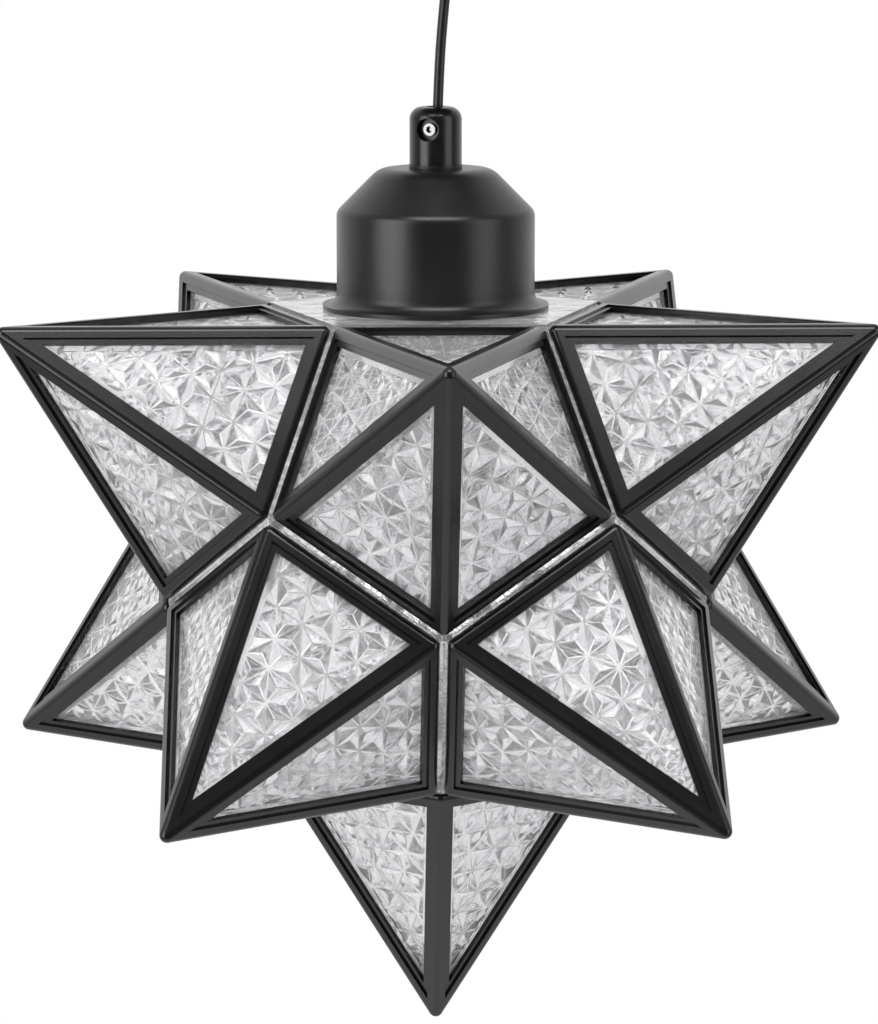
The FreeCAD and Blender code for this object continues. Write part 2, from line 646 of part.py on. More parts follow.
def make_grip():
    """The cord grip: a turned sleeve with a soft upper edge, and a side hole for its set screw."""
    mouth_floor = GRIP_TOP + " - mouth_depth"
    socket_top = GRIP_FOOT + " + grip_socket"
    sleeve = turned("grip_sleeve", [(CORD_BORE, mouth_floor), ("mouth_radius", mouth_floor),
                                    ("mouth_radius", GRIP_TOP), ("grip_radius", GRIP_TOP),
                                    ("grip_radius", GRIP_FOOT), (THREAD_HOLE, GRIP_FOOT),
                                    (THREAD_HOLE, socket_top), (CORD_BORE, socket_top)])
    round_corner(sleeve, "grip_radius", GRIP_TOP, "grip_round")
    level = GRIP_TOP + " - grip_screw_level"
    azimuth = math.radians(size("grip_screw_azimuth"))
    centre = size("lamp_x")
    hole = radial_rod("grip_thread", "grip_screw_radius + screw_play", "0", "grip_radius",
                      level, azimuth, centre)
    pocket = radial_rod("grip_pocket", "grip_hole_radius", "grip_hole_floor",
                        "grip_radius + grip_hole_radius", level, azimuth, centre)
    add_part("cord_grip", cut("cord_grip", sleeve, [hole, pocket]))
    make_set_screw("grip_set_screw", "grip_screw_radius", "grip_screw_face", level, azimuth, centre)
    gasket_foot = GRIP_FOOT + " - gasket_wall"
    add_part("grip_gasket", turned("grip_gasket", [(THREAD_HOLE, GRIP_FOOT),
                                                   ("gasket_radius", GRIP_FOOT),
                                                   ("gasket_radius", gasket_foot),
                                                   (THREAD_HOLE, gasket_foot)]))
    add_part("cord_tail", cylinder("cord_tail", "cord_radius", TAIL_FOOT, mouth_floor, x="lamp_x"))


def make_nipple():
    top = GRIP_FOOT + " + nipple_engage"
    add_part("nipple", turned("nipple", [("nipple_bore", top), ("stud_radius", top),
                                         ("stud_radius", NIPPLE_FOOT),
                                         ("nipple_bore", NIPPLE_FOOT)]))
    washer_top = CAP_TOP + " - cap_wall"
    washer_foot = washer_top + " - washer_wall"
    add_part("lock_washer", turned("lock_washer", [(THREAD_HOLE, washer_top),
                                                   ("washer_radius", washer_top),
                                                   ("washer_radius", washer_foot),
                                                   (THREAD_HOLE, washer_foot)]))
    make_nut("nipple_lock_nut", HOLDER_TOP, HOLDER_TOP + " + nut_height", "lamp_x")


def make_cap():
    """The spun cap: flat crown, conical shoulder, straight side and a flared rim."""
    shoulder_foot = CAP_TOP + " - cap_shoulder"
    inside = "cap_radius - cap_wall"
    rim = "cap_radius + cap_flare"
    lean = math.atan2(amount("cap_shoulder"), amount("cap_radius - cap_crown"))
    crown_mitre = "%.4f" % (size("cap_wall") * math.tan(lean / 2))
    side_mitre = "%.4f" % (size("cap_wall") * math.tan((math.pi / 2 - lean) / 2))
    cap = turned("cap", [(THREAD_HOLE, CAP_TOP), ("cap_crown", CAP_TOP),
                         ("cap_radius", shoulder_foot), ("cap_radius", CAP_FOOT + " + cap_wall"),
                         (rim, CAP_FOOT + " + cap_wall"), (rim, CAP_FOOT),
                         (inside, CAP_FOOT), (inside, shoulder_foot + " - " + side_mitre),
                         ("cap_crown - " + crown_mitre, CAP_TOP + " - cap_wall"),
                         (THREAD_HOLE, CAP_TOP + " - cap_wall")])
    round_corner(cap, "cap_crown", CAP_TOP, "cap_crown_round")
    round_corner(cap, "cap_crown - " + crown_mitre, CAP_TOP + " - cap_wall",
                 "cap_crown_round - cap_wall")
    round_corner(cap, "cap_radius", shoulder_foot, "cap_side_round")
    round_corner(cap, inside, shoulder_foot + " - " + side_mitre, "cap_side_round - cap_wall")
    round_corner(cap, "cap_radius", CAP_FOOT + " + cap_wall", "cap_flare_round")
    add_part("cap", cap)


def make_holder():
    """The lamp holder: a cap on the nipple, and a body that passes through the top plate."""
    shoulder_top = HOLDER_TOP + " - holder_collar_height"
    shoulder_foot = shoulder_top + " - holder_shoulder"
    bore = "holder_cap_radius - holder_wall"
    add_part("holder_cap", turned("holder_cap", [
        (THREAD_HOLE, HOLDER_TOP), ("holder_collar", HOLDER_TOP), ("holder_collar", shoulder_top),
        ("holder_cap_radius", shoulder_foot), ("holder_cap_radius", BODY_TOP), (bore, BODY_TOP),
        (bore, shoulder_foot + " - 1.2"), ("holder_collar", HOLDER_TOP + " - holder_collar_depth"),
        (THREAD_HOLE, HOLDER_TOP + " - holder_collar_depth")]))
    body_foot = BODY_TOP + " - holder_length"
    lower_bore = "shell_bore + shell_wall + lens_gap"
    upper_bore = "insulator_radius + lens_gap"
    add_part("holder_body", turned("holder_body", [
        (upper_bore, BODY_TOP), ("holder_radius", BODY_TOP), ("holder_radius", body_foot),
        (lower_bore, body_foot), (lower_bore, SEAT), (upper_bore, SEAT)]))
    shell_outside = "shell_bore + shell_wall"
    shell_foot = SEAT + " - shell_length"
    lean = math.atan2(size("shell_shoulder_drop"), size("shell_shoulder"))
    floor_mitre = "%.4f" % (size("shell_wall") * math.tan(lean / 2))
    wall_mitre = "%.4f" % (size("shell_wall") * math.tan((math.pi / 2 - lean) / 2))
    add_part("screw_shell", turned("screw_shell", [
        ("shell_eye", SEAT), (shell_outside + " - shell_shoulder", SEAT),
        (shell_outside, SEAT + " - shell_shoulder_drop"), (shell_outside, shell_foot),
        ("shell_bore", shell_foot), ("shell_bore", SEAT + " - shell_shoulder_drop - " + wall_mitre),
        (shell_outside + " - shell_shoulder - " + floor_mitre, SEAT + " - shell_wall"),
        ("shell_eye", SEAT + " - shell_wall")]))
    rivet_top = INSULATOR_TOP + " + contact_sheet"
    add_part("centre_contact", turned("centre_contact", [
        ("0", SEAT + " - contact_drop"), ("contact_nose", SEAT + " - contact_drop"),
        ("contact_radius", SEAT + " - contact_sheet"), ("contact_radius", SEAT),
        ("rivet_radius", SEAT), ("rivet_radius", INSULATOR_TOP), ("contact_head", INSULATOR_TOP),
        ("contact_head", rivet_top), ("0", rivet_top)]))


def make_insulator():
    disc = cylinder("insulator_disc", "insulator_radius", SEAT, INSULATOR_TOP, x="lamp_x")
    hole = "rivet_radius + screw_play"
    places = (("middle", "lamp_x"), ("left", "lamp_x - terminal_place"),
              ("right", "lamp_x + terminal_place"))
    holes = [cylinder("insulator_hole_" + side, hole, SEAT, INSULATOR_TOP, x=where)
             for side, where in places]
    add_part("holder_insulator", cut("holder_insulator", disc, holes))
    screws = []
    for side, where in places[1:]:
        shank = cylinder("terminal_shank_" + side, "rivet_radius",
                         INSULATOR_TOP + " - terminal_length", INSULATOR_TOP, x=where)
        head = cylinder("terminal_head_" + side, "terminal_head", INSULATOR_TOP, TERMINAL_TOP,
                        x=where)
        screws.append(joined("terminal_screw_" + side, [shank, head]))
    add_part("terminal_screws", group("terminal_screws", screws))


def make_holder_leads():
    """Two leads that fan out from the cord's tail to the terminal screws."""
    top = amount(TAIL_FOOT + " - lead_end_gap")
    foot = amount(TERMINAL_TOP + " + lead_end_gap")
    middle = size("lamp_x")
    near = size("lead_offset")
    reach = size("terminal_place")
    drop = top - foot
    for name, side in (("lead_live", 1), ("lead_neutral", -1)):
        route = [(middle + side * near, 0, top),
                 (middle + side * near * 1.84, 0, top - drop * 0.33),
                 (middle + side * reach * 0.86, 0, foot + drop * 0.37),
                 (middle + side * reach, 0, foot)]
        add_part(name, cord_tube(name, route, size("lead_radius")))


def make_shade_ring():
    bore = "holder_radius + lens_gap"
    collar = bore + " + ring_wall"
    flange = collar + " + ring_reach"
    flange_foot = PLATE_FLOOR + " - ring_flange_wall"
    add_part("shade_ring", turned("shade_ring", [
        (bore, PLATE_FLOOR), (flange, PLATE_FLOOR), (flange, flange_foot),
        (collar, flange_foot), (collar, PLATE_FLOOR + " - ring_height"),
        (bore, PLATE_FLOOR + " - ring_height")]))


def make_star():
    """The top plate and the eleven points: five up, five down between them, and one at the bottom."""
    star = Star()
    climb = math.pi / 2 - math.atan(2.0)
    front = -math.pi / 2
    add_part("top_plate", shaped("top_plate", plate_shape(star),
                                 point_placement(star, front, math.pi / 2, False)))
    frame = frame_shape(star)
    lens = lens_shape(star)
    places = []
    for index in range(5):
        azimuth = front + math.radians(72 * index)
        places.append(("upper_%s_%d", index + 1, azimuth, climb, True))
    for index in range(5):
        azimuth = front + math.radians(36 + 72 * index)
        places.append(("lower_%s_%d", index + 1, azimuth, -climb, False))
    for name, number, azimuth, angle, upright in places:
        stand = point_placement(star, azimuth, angle, upright)
        for kind, shape in (("frame", frame), ("lens", lens)):
            label = name % (kind, number)
            add_part(label, shaped(label, shape, stand))
    bottom = point_placement(star, front + math.radians(36), -math.pi / 2, True)
    add_part("bottom_frame", shaped("bottom_frame", frame, bottom))
    add_part("bottom_lens", shaped("bottom_lens", lens, bottom))
    print("star centre at z = %.3f, core inradius %.3f" % (
        amount(CAP_FOOT + " - plate_rise") - star.inner, star.inner))


def check_and_write():
    """Stops on any failed object, then writes each piece to its own file."""
    doc.recompute()
    for thing in doc.Objects:
        if "Invalid" in thing.State or "Error" in thing.State:
            raise SystemExit("%s failed: %s" % (thing.Label, thing.State))
    os.makedirs("parts", exist_ok=True)
    for name, thing in parts.items():
        if thing.Shape.isNull() or not thing.Shape.isValid():
            raise SystemExit("%s has no valid shape" % name)
        thing.Shape.exportStep("parts/%s.step" % name)
    print("%d pieces written" % len(parts))


fill_sheet()
make_bracket()
make_earth_screw()
make_canopy()
make_canopy_screws()
make_gland()
make_nut("gland_nut", "- canopy_height + canopy_wall", "- canopy_height + canopy_wall + nut_height",
         "0")
make_ceiling_wiring()
make_pendant_cord()
make_grip()
make_nipple()
make_cap()
make_holder()
make_insulator()
make_holder_leads()
make_shade_ring()
make_star()
check_and_write()
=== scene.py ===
import math

import bpy
from mathutils import Matrix, Vector


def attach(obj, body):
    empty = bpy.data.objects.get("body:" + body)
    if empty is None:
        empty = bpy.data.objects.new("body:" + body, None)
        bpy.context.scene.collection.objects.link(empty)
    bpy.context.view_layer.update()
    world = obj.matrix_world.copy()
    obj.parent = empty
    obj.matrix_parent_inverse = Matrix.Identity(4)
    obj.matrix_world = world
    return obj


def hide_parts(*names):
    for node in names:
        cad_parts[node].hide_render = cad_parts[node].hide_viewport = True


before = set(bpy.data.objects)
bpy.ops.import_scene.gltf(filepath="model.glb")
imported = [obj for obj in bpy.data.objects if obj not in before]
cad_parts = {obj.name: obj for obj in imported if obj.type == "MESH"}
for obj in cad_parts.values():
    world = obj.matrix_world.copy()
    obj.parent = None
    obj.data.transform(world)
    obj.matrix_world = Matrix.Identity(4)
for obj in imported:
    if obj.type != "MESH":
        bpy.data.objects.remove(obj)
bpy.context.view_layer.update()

# A clear star lampshade of eleven points, hung by its cord under a small ceiling canopy.
# Lengths are in metres. The ceiling is at z = 0 and the photograph is taken from the side of -Y.


# ---------------------------------------------------------------- camera, light and floor
# A long lens looks slightly down on the star. Two tall soft boxes stand to the left and right of
# it and a third hangs above, in front of a plain white backdrop. The floor lies far below.

MM = 0.001
lamp_x = -4.0 * MM
star_level = -231.86 * MM
look_down = math.radians(9.45)
look_right = math.radians(1.63)

camera = bpy.data.objects.new("camera", bpy.data.cameras.new("camera"))
bpy.context.scene.collection.objects.link(camera)
camera.data.lens = 148.4
camera.data.sensor_width = 36.0
camera.data.clip_start = 0.05
camera.location = (-0.0441, -1.4494, 0.0174)
camera.rotation_euler = (math.pi / 2 - look_down, 0, -look_right)
bpy.context.scene.camera = camera
bpy.context.scene.view_settings.view_transform = "Standard"


def soft_box(name, azimuth, climb, distance, width, height, watts):
    """A rectangular lamp that faces the star. Azimuths go to the right from the camera's side."""
    lamp = bpy.data.lights.new(name, "AREA")
    lamp.shape = "RECTANGLE"
    lamp.size = width
    lamp.size_y = height
    lamp.energy = watts
    side, rise = math.radians(azimuth), math.radians(climb)
    away = Vector((math.sin(side) * math.cos(rise), -math.cos(side) * math.cos(rise),
                   math.sin(rise)))
    placed = bpy.data.objects.new(name, lamp)
    bpy.context.scene.collection.objects.link(placed)
    placed.location = Vector((lamp_x, 0, star_level)) + away * distance
    placed.rotation_euler = away.to_track_quat("Z", "Y").to_euler()


soft_box("left_box", -54, 8, 1.7, 1.05, 1.9, 23)
soft_box("right_box", 57, 8, 1.7, 0.95, 1.9, 10)
soft_box("top_box", 0, 60, 1.6, 1.3, 0.6, 15)

world = bpy.data.worlds.new("studio")
bpy.context.scene.world = world
world.use_nodes = True
backdrop = world.node_tree.nodes["Background"]
backdrop.inputs["Color"].default_value = (1, 1, 1, 1)


class Level:
    """A socket that carries a number, so that shader sums read as plain sums."""

    def __init__(self, tree, socket):
        self.tree, self.socket = tree, socket

    def maths(self, operation, first, second=0.0):
        return self.tree.node("ShaderNodeMath", {"operation": operation}, {0: first, 1: second})

    def __add__(self, other):
        return self.maths("ADD", self, other)

    def __mul__(self, other):
        return self.maths("MULTIPLY", self, other)

    def __sub__(self, other):
        return self.maths("SUBTRACT", self, other)

    def __rsub__(self, other):
        return self.maths("SUBTRACT", other, self)

    __radd__ = __add__
    __rmul__ = __mul__


class Tree:
    """A node tree that is put together one node at a time."""

    def __init__(self, tree):
        self.nodes, self.links = tree.nodes, tree.links

    def fill(self, socket, value):
        if isinstance(value, Level):
            self.links.new(value.socket, socket)
        elif isinstance(value, tuple) and socket.type == "RGBA":
            socket.default_value = value + (1.0,)
        else:
            socket.default_value = value

    def node(self, kind, settings, inputs, output=0):
        """Adds a node, with its settings first and then its sockets, and returns one output."""
        made = self.nodes.new(kind)
        for name, value in settings.items():
            setattr(made, name, value)
        for name, value in inputs.items():
            self.fill(made.inputs[name], value)
        return Level(self, made.outputs[output])


# The backdrop is white to the eye and through clear plastic. Black plastic mirrors a dim front.
dim_front, bright_back = 0.04, 1.0
plain_level = 0.55
studio = Tree(world.node_tree)
ray = {kind: studio.node("ShaderNodeLightPath", {}, {}, kind)
       for kind in ("Is Camera Ray", "Is Glossy Ray", "Is Transmission Ray")}
way = studio.node("ShaderNodeTexCoord", {}, {}, "Generated")
behind = studio.node("ShaderNodeMapRange", {"interpolation_type": "SMOOTHSTEP"},
                     {"Value": studio.node("ShaderNodeSeparateXYZ", {}, {0: way}, "Y"),
                      "From Min": -0.35, "From Max": 0.75, "To Min": dim_front,
                      "To Max": bright_back})
seen = studio.node("ShaderNodeMath", {"operation": "MAXIMUM"},
                   {0: ray["Is Camera Ray"], 1: ray["Is Transmission Ray"]})
studio.fill(backdrop.inputs["Strength"],
            seen + (1 - seen) * (ray["Is Glossy Ray"] * behind
                                 + (1 - ray["Is Glossy Ray"]) * plain_level))


class Finish(Tree):
    """A material round its shader. Patterns follow the piece's own coordinates."""

    def __init__(self, name, **constants):
        self.material = bpy.data.materials.new(name)
        self.material.use_nodes = True
        super().__init__(self.material.node_tree)
        self.shader = self.nodes["Principled BSDF"]
        self.place = self.node("ShaderNodeTexCoord", {}, {}, "Object")
        for name, value in constants.items():
            self.set(name.replace("_", " "), value)

    def set(self, socket, value):
        self.fill(self.shader.inputs[socket], value)

    def noise(self, scale, detail=3.0, roughness=0.5):
        """A soft irregular pattern from 0 to 1. Scale is in spots to the metre."""
        return self.node("ShaderNodeTexNoise", {}, {"Vector": self.place, "Scale": scale,
                                                    "Detail": detail, "Roughness": roughness})

    def spread(self, value, low, high, start=0.3, end=0.7):
        """Stretches the middle of a pattern to the range from low to high."""
        return self.node("ShaderNodeMapRange", {}, {"Value": value, "From Min": start,
                                                    "From Max": end, "To Min": low,
                                                    "To Max": high})

    def blend(self, share, first, second):
        return self.node("ShaderNodeMix", {"data_type": "RGBA"},
                         {0: share, 6: first, 7: second}, 2)

    def bump(self, height, depth):
        """Relief of the given depth, in metres."""
        self.set("Normal", self.node("ShaderNodeBump", {},
                                     {"Height": height, "Strength": 1.0, "Distance": depth}))

    def dress(self, *names):
        """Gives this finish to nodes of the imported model."""
        for name in names:
            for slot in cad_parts[name].material_slots:
                slot.material = self.material


floor_size = 1.35
floor_level = -1.05
bpy.ops.object.select_all(action="DESELECT")
bpy.ops.mesh.primitive_circle_add(vertices=96, radius=floor_size, fill_type="NGON",
                                  location=(lamp_x, 0, floor_level))
floor = bpy.context.object
floor.name = "floor"
floor_finish = Finish("pale_floor", Roughness=0.8)
away = floor_finish.node("ShaderNodeVectorMath", {"operation": "LENGTH"},
                         {0: floor_finish.place}, "Value")
floor_finish.set("Base Color", floor_finish.blend(floor_finish.noise(3.0), (0.86, 0.86, 0.86),
                                                  (0.90, 0.90, 0.90)))
floor_finish.set("Alpha", floor_finish.spread(away, 1.0, 0.0, 0.3 * floor_size, 0.97 * floor_size))
floor.data.materials.append(floor_finish.material)


# ---------------------------------------------------------------- ceiling bracket and earth screw
# A zinc-plated steel strip with bent ends, stamped and then plated, which two screws hold to the
# ceiling box. The earth screw is brass.

zinc = Finish("zinc_plate", Metallic=1.0)
cloud = zinc.noise(140.0, 4.0, 0.6)
zinc.set("Base Color", zinc.blend(cloud, (0.50, 0.51, 0.52), (0.70, 0.70, 0.68)))
zinc.set("Roughness", zinc.spread(cloud, 0.30, 0.46))
zinc.bump(zinc.noise(2600.0), 0.00002)
zinc.dress("ceiling_bracket", "gland_nut", "lock_washer", "nipple_lock_nut", "terminal_screws")

brass = Finish("brass", Metallic=1.0)
tarnish = brass.noise(260.0, 4.0, 0.6)
brass.set("Base Color", brass.blend(tarnish, (0.62, 0.44, 0.18), (0.80, 0.61, 0.30)))
brass.set("Roughness", brass.spread(tarnish, 0.38, 0.26))
brass.bump(brass.noise(3000.0), 0.00001)
brass.dress("ground_screw", "centre_contact")


# ---------------------------------------------------------------- canopy and cap
# Both are spun from sheet steel and powder-coated satin black, like the screws of the canopy. The
# coat has the faint orange peel of such paint and is a little smoother in places.

satin_paint = Finish("satin_black_paint")
drift = satin_paint.noise(60.0)
satin_paint.set("Base Color", satin_paint.blend(drift, (0.0060, 0.0060, 0.0066),
                                                (0.0100, 0.0100, 0.0108)))
satin_paint.set("Roughness", satin_paint.spread(drift, 0.31, 0.36))
satin_paint.bump(satin_paint.noise(1500.0, 2.0), 0.000018)
satin_paint.dress("canopy", "cap", "canopy_screws")


# ---------------------------------------------------------------- gland, grip and set screws
# The two sleeves that hold the cord are turned from brass bar and plated gloss black. Each has a
# small bright steel set screw with a hexagon socket, and the grip stands on a rubber gasket.

gloss_plate = Finish("gloss_black_plate")
turning = gloss_plate.noise(220.0)
gloss_plate.set("Base Color", gloss_plate.blend(turning, (0.0045, 0.0045, 0.005),
                                                (0.008, 0.008, 0.0085)))
gloss_plate.set("Roughness", gloss_plate.spread(turning, 0.23, 0.28))
gloss_plate.bump(gloss_plate.noise(1800.0, 2.0), 0.000006)
gloss_plate.dress("ceiling_gland", "cord_grip")

bright = Finish("bright_steel", Metallic=1.0)
wipe = bright.noise(900.0)
bright.set("Base Color", bright.blend(wipe, (0.26, 0.26, 0.26), (0.40, 0.40, 0.40)))
bright.set("Roughness", bright.spread(wipe, 0.20, 0.30))
bright.dress("grip_set_screw", "gland_set_screw")


# ---------------------------------------------------------------- cord and leads
# A round black cord of 3.5 mm with a smooth plastic jacket. It is a little slack and leans to the
# left between the gland and the grip, and its three leads come out above the gland.

jacket = Finish("cord_jacket")
grain = jacket.noise(700.0)
jacket.set("Base Color", jacket.blend(grain, (0.006, 0.006, 0.0065), (0.014, 0.014, 0.015)))
jacket.set("Roughness", jacket.spread(grain, 0.30, 0.40))
jacket.bump(grain, 0.00001)
jacket.dress("cord_root", "cord_tail", "grip_gasket")

cord_size = 3.5 * MM
cord_route = [(0.0, 0.0, -37.7), (-1.55, 0.0, -53.0), (-2.75, 0.0, -69.0), (-3.28, 0.0, -84.3)]
cord_curve = bpy.data.curves.new("hanging_cord", "CURVE")
cord_curve.dimensions = "3D"
cord_curve.bevel_depth = cord_size / 2
cord_curve.bevel_resolution = 8
cord_curve.use_fill_caps = True
spline = cord_curve.splines.new("NURBS")
spline.points.add(len(cord_route) - 1)
for point, (x, y, z) in zip(spline.points, cord_route):
    point.co = (x * MM, y * MM, z * MM, 1)
spline.order_u = 3
spline.use_endpoint_u = True
spline.resolution_u = 16
cord = bpy.data.objects.new("hanging_cord", cord_curve)
bpy.context.scene.collection.objects.link(cord)
cord_curve.materials.append(jacket.material)
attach(cord, "cord")
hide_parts("pendant_cord")


def lead_finish(name, low, high, *leads):
    """The coloured plastic of a single lead."""
    finish = Finish(name)
    shade = finish.noise(500.0)
    finish.set("Base Color", finish.blend(shade, low, high))
    finish.set("Roughness", finish.spread(shade, 0.32, 0.42))
    finish.bump(shade, 0.00001)
    finish.dress(*leads)


lead_finish("black_lead", (0.010, 0.010, 0.010), (0.020, 0.020, 0.020), "supply_live", "lead_live")
lead_finish("white_lead", (0.70, 0.70, 0.67), (0.80, 0.80, 0.77), "supply_neutral", "lead_neutral")
lead_finish("green_lead", (0.020, 0.17, 0.045), (0.030, 0.22, 0.060), "supply_ground")


# ---------------------------------------------------------------- nipple
# A hollow threaded steel tube that joins the grip, the cap and the lamp holder. The thread is a
# fine one of 1 mm pitch, rolled and then zinc-plated.

fine_turns = 314.0
thread = Finish("zinc_thread", Metallic=1.0)
haze = thread.noise(200.0)
thread.set("Base Color", thread.blend(haze, (0.52, 0.52, 0.52), (0.68, 0.68, 0.66)))
thread.set("Roughness", thread.spread(haze, 0.28, 0.40))
turns = thread.node("ShaderNodeTexWave", {"wave_type": "BANDS", "bands_direction": "Z"},
                    {"Vector": thread.place, "Scale": fine_turns, "Distortion": 0.0}, "Fac")
thread.bump(turns, 0.0004)
thread.dress("nipple")


# ---------------------------------------------------------------- lamp holder
# A medium-base holder moulded in black phenolic, with a ceramic insulator, a rolled metal screw
# shell and a brass contact. A moulded ring clamps the top plate from below.

phenolic = Finish("black_phenolic")
flow = phenolic.noise(90.0, 5.0, 0.6)
phenolic.set("Base Color", phenolic.blend(flow, (0.007, 0.007, 0.007), (0.014, 0.013, 0.013)))
phenolic.set("Roughness", phenolic.spread(flow, 0.34, 0.48))
phenolic.bump(phenolic.noise(1200.0), 0.00002)
phenolic.dress("holder_cap", "holder_body", "shade_ring")

ceramic = Finish("glazed_ceramic", Coat_Roughness=0.1)
body_tint = ceramic.noise(120.0)
ceramic.set("Base Color", ceramic.blend(body_tint, (0.70, 0.68, 0.62), (0.80, 0.78, 0.73)))
ceramic.set("Roughness", ceramic.spread(body_tint, 0.30, 0.45))
ceramic.bump(ceramic.noise(900.0), 0.00002)
ceramic.dress("holder_insulator")

coarse_turns = 86.0
rolled = Finish("rolled_shell", Metallic=1.0)
polish = rolled.noise(300.0)
rolled.set("Base Color", rolled.blend(polish, (0.62, 0.61, 0.58), (0.80, 0.79, 0.76)))
rolled.set("Roughness", rolled.spread(polish, 0.20, 0.32))
rounds = rolled.node("ShaderNodeTexWave", {"wave_type": "BANDS", "bands_direction": "Z"},
                     {"Vector": rolled.place, "Scale": coarse_turns, "Distortion": 0.0}, "Fac")
rolled.bump(rounds, 0.0009)
rolled.dress("screw_shell")


# ---------------------------------------------------------------- black frames of the points
# Each point is held by a five-sided cage moulded in black plastic, with rounded crests, a narrow
# sunk lip round every window and a satin skin. Ten cages belong to the lamp, and one comes off.

moulded = Finish("moulded_black")
skin = moulded.noise(45.0)
moulded.set("Base Color", moulded.blend(skin, (0.0040, 0.0040, 0.0045), (0.0065, 0.0065, 0.0072)))
moulded.set("Roughness", moulded.spread(skin, 0.20, 0.25))
moulded.bump(moulded.noise(1300.0, 2.0), 0.000015)
upper = ["upper_frame_%d" % number for number in range(1, 6)]
lower = ["lower_frame_%d" % number for number in range(1, 6)]
moulded.dress(*upper, *lower, "bottom_frame")


# ---------------------------------------------------------------- pressed lenses of the points
# Inside each frame sits a hollow pyramid pressed in clear plastic. Its sides carry a pattern of
# small three-sided pits, so that twelve creases meet in a burst at every corner of the pattern.

SIDES = 5
golden = (1 + math.sqrt(5)) / 2
core_edge = 71.0 * MM
foot_reach = core_edge / (2 * math.tan(math.pi / SIDES))
core_reach = core_edge * golden ** 2 / (2 * math.sqrt(3 - golden))
seam_reach = math.hypot(foot_reach, core_reach)
slope = math.atan(2.0)
half_tip = math.radians(18.0)

lens_cover = 2.5 * MM
lens_inside = 1.2 * MM
lens_wall = 2.0 * MM
seam_gap = 0.05 * MM
rim_drop = 0.8 * MM
flange_foot = -6.0 * MM

pitch = 10.8 * MM
rows = 9
pit_depth = 1.1 * MM
pit_change = 0.3
crease = 0.24 * MM
stray = 0.75 * MM
stray_x, stray_y = 1900.0, 2700.0
plain_strip = 6.05 * MM
weld = 0.002 * MM
pattern_drop = 3.0 * MM

pressed = Finish("pressed_clear", IOR=1.49, Transmission_Weight=0.88)
tint = pressed.noise(30.0)
pressed.set("Base Color", pressed.blend(tint, (0.905, 0.91, 0.925), (0.95, 0.955, 0.965)))
pressed.set("Roughness", pressed.spread(tint, 0.01, 0.05))
pressed.bump(pressed.noise(420.0, 2.0), 0.00003)

# The crease faces get a whiter, less clear plastic than the sides. This is a painted highlight, so
# that every crease reads as a bright line.
crease_highlight = Finish("painted_crease_highlight", IOR=1.49, Transmission_Weight=0.75)
gleam = crease_highlight.noise(60.0)
crease_highlight.set("Base Color", crease_highlight.blend(gleam, (0.96, 0.96, 0.97), (1.0, 1.0, 1.0)))
crease_highlight.set("Roughness", crease_highlight.spread(gleam, 0.05, 0.12))


def seam_side(height, depth):
    """From the point's axis to the seam plane sunk by this depth, at this height."""
    return (foot_reach * (height + core_reach) - depth * seam_reach) / core_reach


def meeting(side_depth, seam_depth):
    """The height where a side and a seam plane, each sunk by its depth, meet."""
    top = seam_depth * seam_reach / core_reach - side_depth / math.sin(slope)
    return top / (1 / math.tan(slope) + foot_reach / core_reach)


def tip_level(depth):
    return (foot_reach - depth / math.sin(slope)) * math.tan(slope)


def uneven(x, y, seed):
    """A fixed unevenness from -1 to 1, alike on the two halves of a side."""
    return math.sin(stray_x * abs(x) + seed) * math.sin(stray_y * y + 2.3 * seed)


def keep_side(co, no):
    """Cuts away what lies beyond a plane."""
    bpy.ops.mesh.select_all(action="SELECT")
    bpy.ops.mesh.bisect(plane_co=co, plane_no=no, clear_outer=True, threshold=1e-7)


def select_border():
    bpy.ops.mesh.select_all(action="DESELECT")
    bpy.ops.mesh.select_mode(type="EDGE")
    bpy.ops.mesh.select_non_manifold(extend=False, use_wire=False, use_multi_face=False,
                                     use_non_contiguous=False, use_verts=False)


def pull_border(scale, centre, move=(0, 0, 0)):
    """Extrudes the selected border, then scales it about a centre and moves it."""
    bpy.ops.mesh.extrude_edges_move()
    bpy.ops.transform.resize(value=scale, center_override=centre)
    bpy.ops.transform.translate(value=move)


lens_foot = meeting(lens_cover, lens_inside)
base_line = (lens_foot + lens_cover * math.cos(slope)) / math.sin(slope)
apex_line = (foot_reach - lens_cover * math.sin(slope)) / math.cos(slope)

# One side, lying flat: the crease pattern is cut to the window, and a plain strip goes round it.
bpy.ops.object.select_all(action="DESELECT")
big_side = pitch * rows
pattern_foot = base_line + plain_strip
pattern_middle = pattern_foot - pattern_drop + big_side / math.sqrt(12)
bpy.ops.mesh.primitive_circle_add(vertices=3, radius=big_side / math.sqrt(3), fill_type="NGON",
                                  location=(0, pattern_middle, 0))
side = bpy.context.object
bpy.ops.object.transform_apply()
side.data.materials.append(pressed.material)
side.data.materials.append(crease_highlight.material)
bpy.ops.object.mode_set(mode="EDIT")
bpy.ops.mesh.select_all(action="SELECT")
bpy.ops.mesh.subdivide(number_cuts=rows - 1)
bpy.ops.object.mode_set(mode="OBJECT")
for corner in side.data.vertices:
    x, y = corner.co.x, corner.co.y
    if abs(x) > weld:
        corner.co.x += math.copysign(stray, x) * uneven(x, y, 1.0)
    corner.co.y += stray * uneven(x, y, 2.0)
bpy.ops.object.mode_set(mode="EDIT")
bpy.ops.mesh.select_all(action="SELECT")
bpy.ops.mesh.poke(offset=-pit_depth)
bpy.ops.object.mode_set(mode="OBJECT")
for corner in side.data.vertices:
    corner.co.z *= 1 + pit_change * uneven(corner.co.x, corner.co.y, 3.0)
bpy.ops.object.mode_set(mode="EDIT")
bpy.ops.mesh.select_all(action="SELECT")
# The bevelled crease faces take the second slot, the painted crease highlight.
bpy.ops.mesh.bevel(offset=crease, segments=1, affect="EDGES", material=1)
keep_side((0, pattern_foot, 0), (0, -1, 0))
